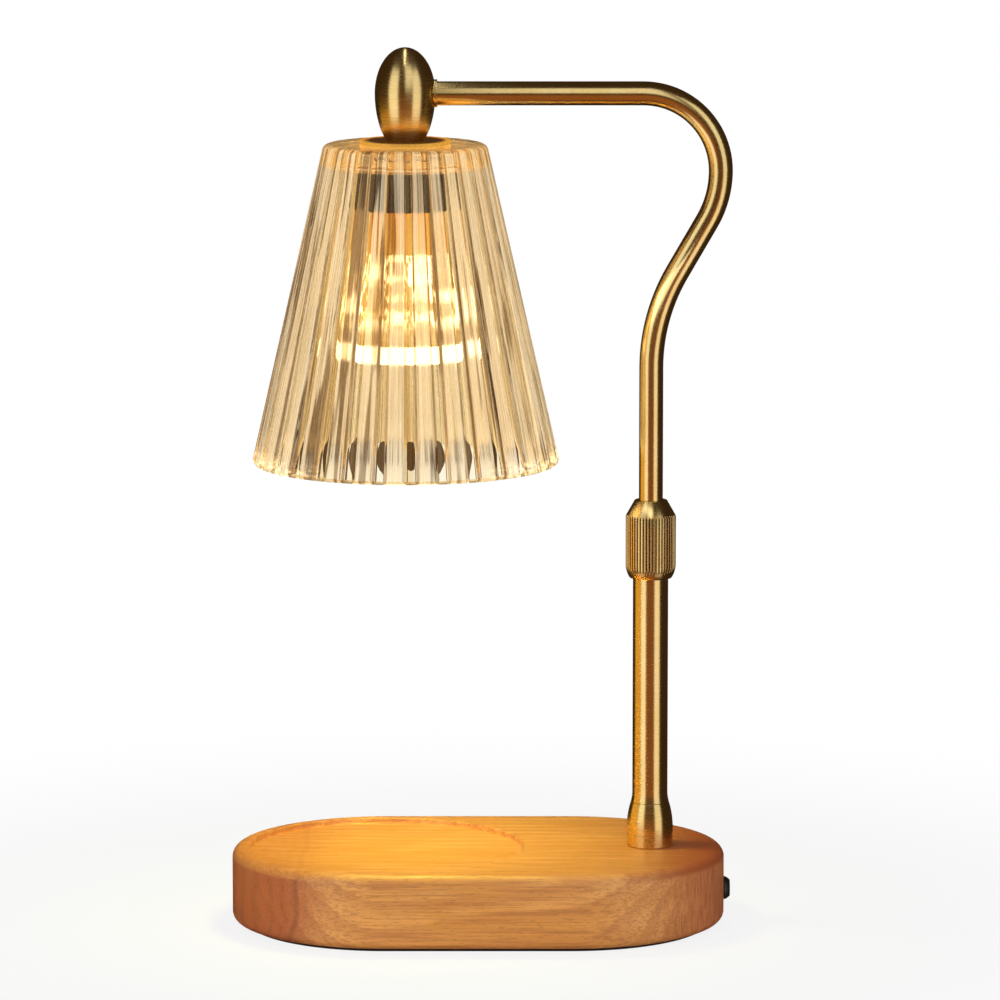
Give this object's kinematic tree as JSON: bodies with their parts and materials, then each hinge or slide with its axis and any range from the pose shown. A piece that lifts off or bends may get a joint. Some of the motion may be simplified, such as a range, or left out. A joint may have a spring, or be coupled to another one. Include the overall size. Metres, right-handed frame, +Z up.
{
  "type": "candle warmer lamp",
  "caption": "Table lamp that warms a candle from above: wooden base with a jar recess, brass post with clamp nut, bent sliding arm, fluted glass shade, twist-lock bulb.",
  "frame": {"origin": "on the surface the lamp stands on, under the middle of the wooden base", "axes": "+Z up; +X along the base, from the jar's recess towards the post; +Y towards the back"},
  "size_m": [0.1885, 0.1164, 0.3323],
  "materials": {
    "walnut_base": "satin lacquered warm brown hardwood, grain lengthwise",
    "foam_pad": "matt closed-cell foam",
    "black_plastic": "matt moulded black",
    "white_plastic": "moulded off-white",
    "zinc_steel": "zinc plated",
    "polished_brass": "polished, warm",
    "lead_sheath": "soft sheath, off-white",
    "silicone": "clear to amber silicone",
    "clear_glass": "clear, polished",
    "dark_metal": "dark bronze gloss",
    "ceramic": "glazed ceramic",
    "reflector": "bright facetless mirror"
  },
  "bodies": {
    "base": {"wood_base": "walnut_base", "base_pad": "foam_pad", "base_cover": "black_plastic", "cover_screws": "zinc_steel", "cord_gland": "black_plastic", "terminal_box": "white_plastic", "mount_stud": "zinc_steel", "mount_washer": "zinc_steel", "mount_lock_washer": "zinc_steel", "mount_nut": "zinc_steel", "post_ferrule": "polished_brass", "post_tube": "polished_brass", "post_bush": "polished_brass", "lead_base": "lead_sheath"},
    "clamp_nut": {"clamp_nut": "polished_brass"},
    "clamp_sleeve": {"clamp_collet": "polished_brass"},
    "arm": {"arm_tube": "polished_brass", "arm_guide": "white_plastic", "arm_grommet": "black_plastic", "lead_arm": "lead_sheath", "lead_slack": "lead_sheath", "lamp_head": "polished_brass", "arm_seat_ring": "polished_brass", "head_nipple": "zinc_steel", "shade_gasket_top": "silicone", "glass_shade": "clear_glass", "shade_gasket_under": "silicone", "shade_washer": "zinc_steel", "shade_nut": "zinc_steel", "holder_cup": "dark_metal", "holder_block": "ceramic", "holder_contacts": "zinc_steel", "holder_screws": "zinc_steel"},
    "bulb": {"bulb_base": "ceramic", "bulb_pins": "zinc_steel", "bulb_reflector": "reflector", "bulb_bezel": "reflector", "bulb_lens": "clear_glass", "bulb_capsule": "clear_glass"}
  },
  "joints": [
    {"name": "clamp_nut_turn", "type": "hinge", "parent": "base", "child": "clamp_nut", "pos_m": [0.065, 0, 0.147], "axis": [0, 0, 1], "range_deg": [0, 180]},
    {"name": "arm_swivel", "type": "hinge", "parent": "base", "child": "clamp_sleeve", "pos_m": [0.065, 0, 0.15], "axis": [0, 0, 1], "range_deg": [-180, 180]},
    {"name": "height_slide", "type": "slide", "parent": "clamp_sleeve", "child": "arm", "axis": [0, 0, 1], "range_m": [-0.03, 0.025], "deforming": ["lead_slack"]},
    {"name": "bulb_twist", "type": "hinge", "parent": "arm", "child": "bulb", "pos_m": [-0.0271, 0, 0.27], "axis": [0, 0, -1], "range_deg": [0, 30]}
  ]
}
